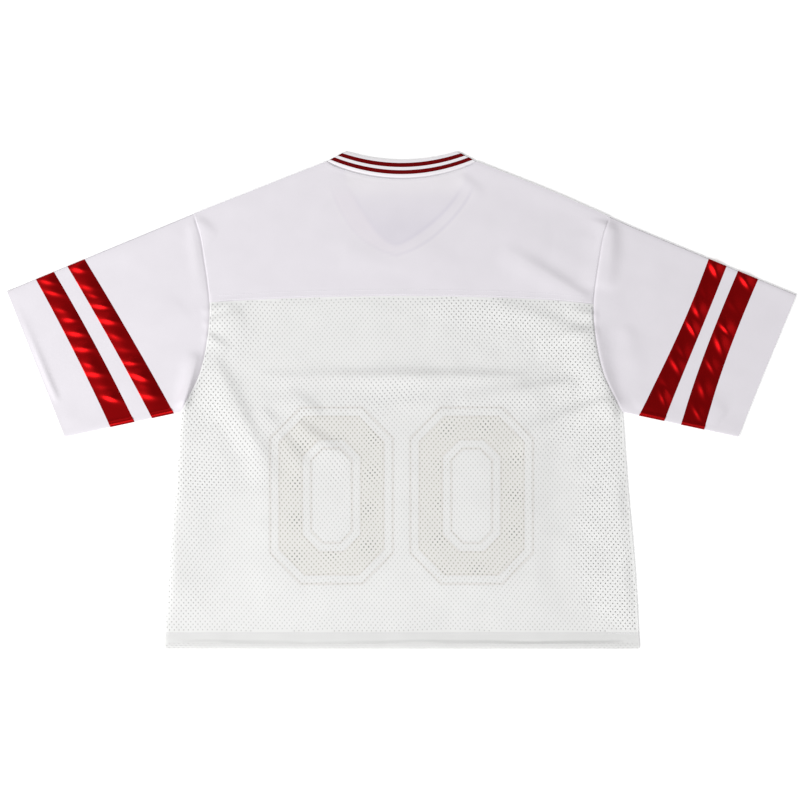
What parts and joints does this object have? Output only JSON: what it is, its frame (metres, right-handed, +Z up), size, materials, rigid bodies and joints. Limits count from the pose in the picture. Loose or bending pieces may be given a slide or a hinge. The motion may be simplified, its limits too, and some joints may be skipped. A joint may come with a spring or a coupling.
{
  "type": "mesh football jersey",
  "caption": "Short-sleeved V-neck sports jersey laid flat back up: solid yoke and sleeves with satin bands, mesh body, rib collar and sewn block numbers.",
  "frame": {"origin": "centre of the garment's outline on the surface that it lies on", "axes": "+Z up from the surface, +Y to the collar, +X to the wearer's right sleeve, back side up"},
  "size_m": [0.9854, 0.6216, 0.0074],
  "materials": {
    "knit": "smooth solid knit, matt",
    "mesh": "open mesh knit, matt",
    "rib": "rib knit with two dark red stripes",
    "satin": "shiny woven satin, puckered at its seams",
    "twill": "matt twill"
  },
  "bodies": {
    "root": {"back_body": "mesh", "back_yoke": "knit", "front_body": "mesh", "front_yoke": "knit", "collar": "rib", "number_left": "twill", "number_right": "twill", "sleeve_left_upper": "knit", "sleeve_left_stripe_inner": "satin", "sleeve_left_middle": "knit", "sleeve_left_stripe_outer": "satin", "sleeve_left_cuff": "knit", "sleeve_right_upper": "knit", "sleeve_right_stripe_inner": "satin", "sleeve_right_middle": "knit", "sleeve_right_stripe_outer": "satin", "sleeve_right_cuff": "knit"}
  },
  "joints": []
}
